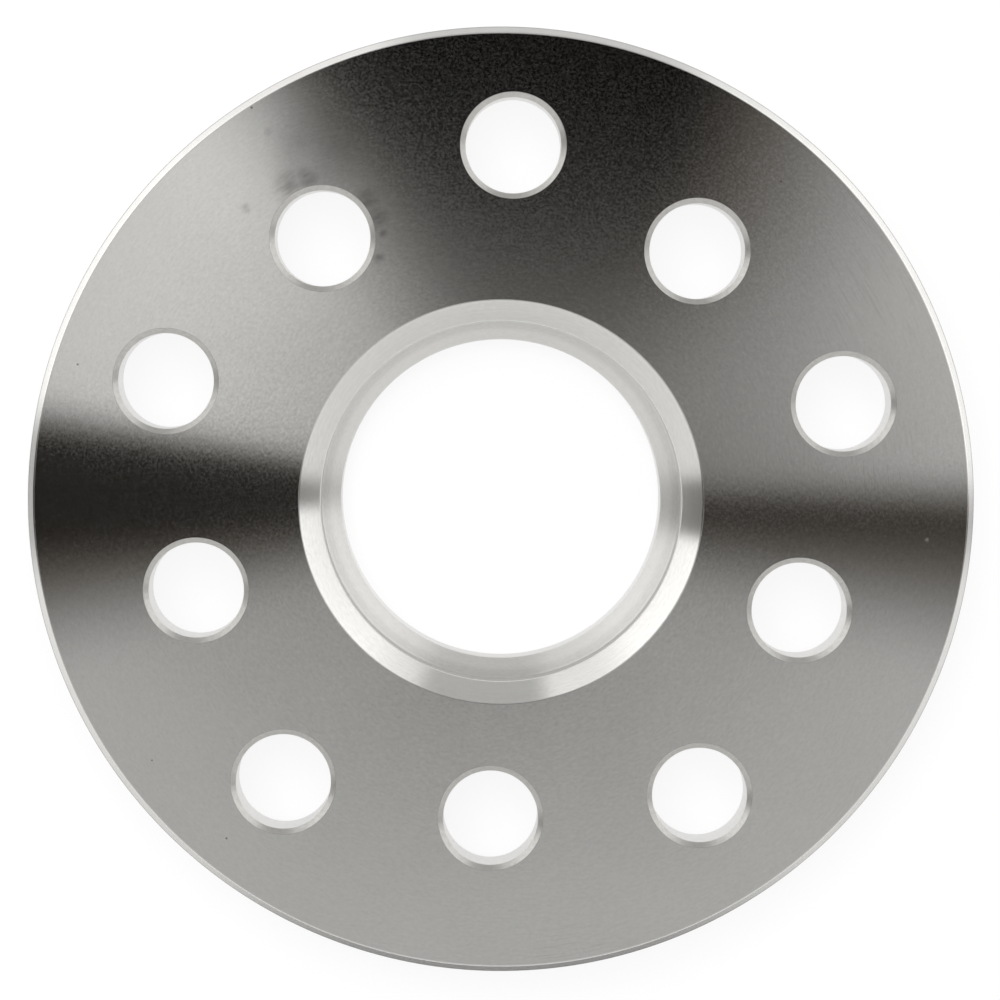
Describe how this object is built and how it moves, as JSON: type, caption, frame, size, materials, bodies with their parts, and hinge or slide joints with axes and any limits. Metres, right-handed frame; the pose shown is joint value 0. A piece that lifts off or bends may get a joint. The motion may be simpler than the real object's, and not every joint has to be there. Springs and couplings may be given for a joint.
{
  "type": "wheel spacer",
  "caption": "Turned aluminium disc that sets a wheel outward from its hub, with a chamfered hub register, a centring lip for the wheel and drilled bolt holes.",
  "frame": {"origin": "centre of the lip's end, on the surface that the spacer lies on", "axes": "+Z along the spacer's axis, from the wheel side to the hub side; +Y towards a hole of the wide bolt circle"},
  "size_m": [0.149, 0.149, 0.017],
  "materials": {
    "machined_aluminium": "satin, finely turned"
  },
  "bodies": {
    "root": {"spacer_disc": "machined_aluminium"}
  },
  "joints": []
}
